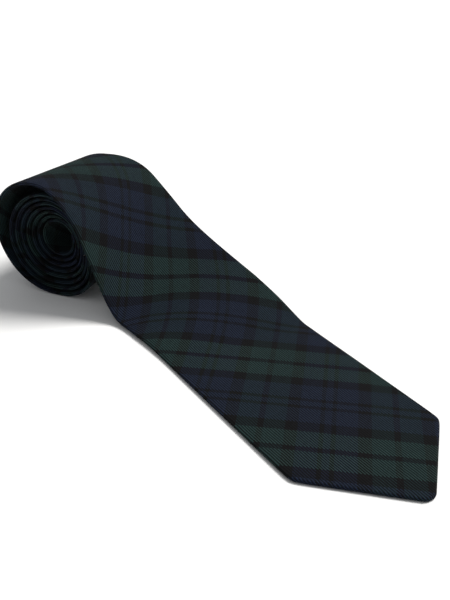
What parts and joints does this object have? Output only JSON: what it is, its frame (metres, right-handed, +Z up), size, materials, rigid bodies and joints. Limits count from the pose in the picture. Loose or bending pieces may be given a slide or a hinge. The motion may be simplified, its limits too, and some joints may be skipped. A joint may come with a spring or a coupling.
{
  "type": "necktie",
  "caption": "Wool tartan necktie, face up, with its pointed blade flat on the table and the rest wound into a loose roll.",
  "frame": {"origin": "on the surface that the tie lies on, below the middle of its box", "axes": "+Z up out of the face of the tie, +X from the roll to the point of the blade, +Y across the blade"},
  "size_m": [0.3384, 0.135, 0.0759],
  "materials": {
    "tartan_wool": "twill-woven worsted wool in a dark green, navy and black tartan, soft and matt",
    "canvas": "brushed wool interlining",
    "tipping": "black satin lining",
    "thread": "spun sewing thread",
    "label_satin": "woven satin label, blank",
    "care_satin": "white satin care label, blank"
  },
  "bodies": {
    "roll": {"shell_blade": "tartan_wool", "shell_neck": "tartan_wool", "shell_tail": "tartan_wool", "interlining_rolled": "canvas", "slip_stitch_rolled": "thread", "tipping_tail": "tipping", "bar_tack_tail": "thread", "label": "label_satin", "label_stitches": "thread", "keeper_loop": "tartan_wool", "keeper_stitches": "thread", "care_label": "care_satin"},
    "upper_panel": {"shell_upper": "tartan_wool", "interlining_upper": "canvas", "slip_stitch_upper": "thread"},
    "middle_panel": {"shell_middle": "tartan_wool", "interlining_middle": "canvas", "tipping_middle": "tipping", "bar_tack_front": "thread", "slip_stitch_middle": "thread", "thread_loop": "thread"},
    "tip_panel": {"shell_tip": "tartan_wool", "interlining_tip": "canvas", "tipping_tip": "tipping"}
  },
  "joints": [
    {"name": "upper_bend", "type": "hinge", "parent": "roll", "child": "upper_panel", "pos_m": [0.01916, 0.0225, 0.00215], "axis": [0, -1, 0], "range_deg": [0, 60]},
    {"name": "middle_bend", "type": "hinge", "parent": "upper_panel", "child": "middle_panel", "pos_m": [0.06916, 0.0225, 0.00215], "axis": [0, -1, 0], "range_deg": [0, 60]},
    {"name": "tip_bend", "type": "hinge", "parent": "middle_panel", "child": "tip_panel", "pos_m": [0.11916, 0.0225, 0.00215], "axis": [0, -1, 0], "range_deg": [0, 60]}
  ]
}
